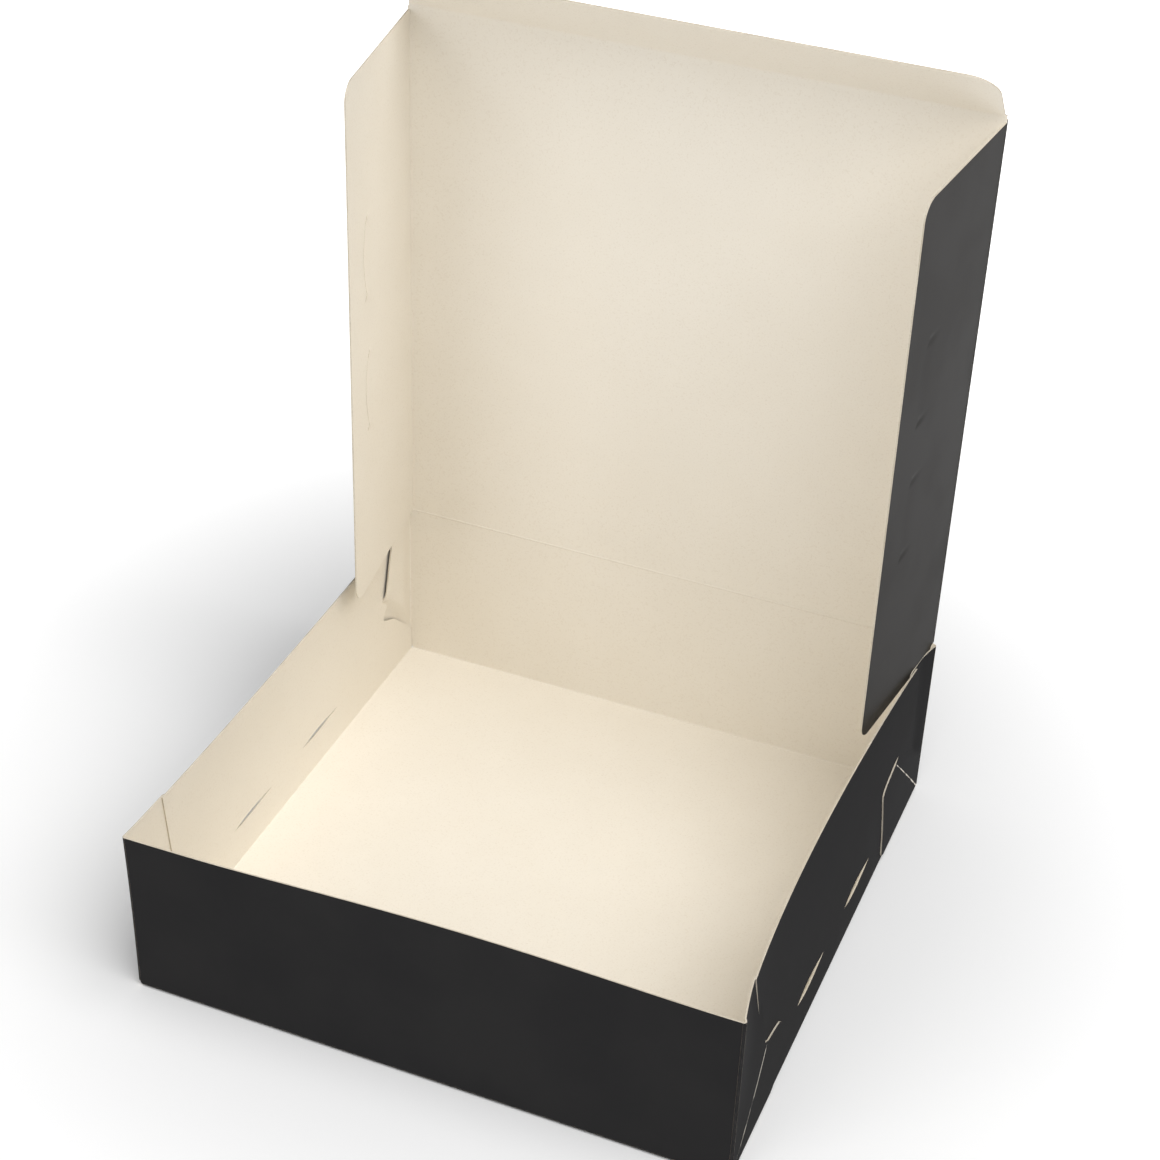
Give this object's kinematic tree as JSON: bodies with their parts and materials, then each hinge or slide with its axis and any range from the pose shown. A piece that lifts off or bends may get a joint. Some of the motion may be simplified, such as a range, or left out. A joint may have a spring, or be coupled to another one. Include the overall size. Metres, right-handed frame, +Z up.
{
  "type": "cake box",
  "caption": "Folded paperboard cake box: shallow square tray with glued corner ears, and an attached lid whose side and front flaps tuck into the tray.",
  "frame": {"origin": "centre of the tray's underside, on the table", "axes": "+Z up, -Y towards the front wall, +X to the right as seen from the front"},
  "size_m": [0.203, 0.203, 0.2788],
  "materials": {
    "board": "satin black coated outside, uncoated cream inside"
  },
  "bodies": {
    "tray": {"tray": "board"},
    "lid": {"lid": "board"},
    "left_flap": {"left_flap": "board"},
    "right_flap": {"right_flap": "board"},
    "front_flap": {"front_flap": "board"}
  },
  "joints": [
    {"name": "lid_hinge", "type": "hinge", "parent": "tray", "child": "lid", "pos_m": [0, 0.10125, 0.06405], "axis": [1, 0, 0], "range_deg": [-105, 88]},
    {"name": "left_flap_hinge", "type": "hinge", "parent": "lid", "child": "left_flap", "pos_m": [-0.09995, 0.10125, 0.06405], "axis": [0, 0, 1], "range_deg": [-97, 18]},
    {"name": "right_flap_hinge", "type": "hinge", "parent": "lid", "child": "right_flap", "pos_m": [0.09995, 0.10125, 0.06405], "axis": [0, 0, -1], "range_deg": [-97, 18]},
    {"name": "front_flap_hinge", "type": "hinge", "parent": "lid", "child": "front_flap", "pos_m": [0, 0.10125, 0.26105], "axis": [1, 0, 0], "range_deg": [-43, 47]}
  ]
}
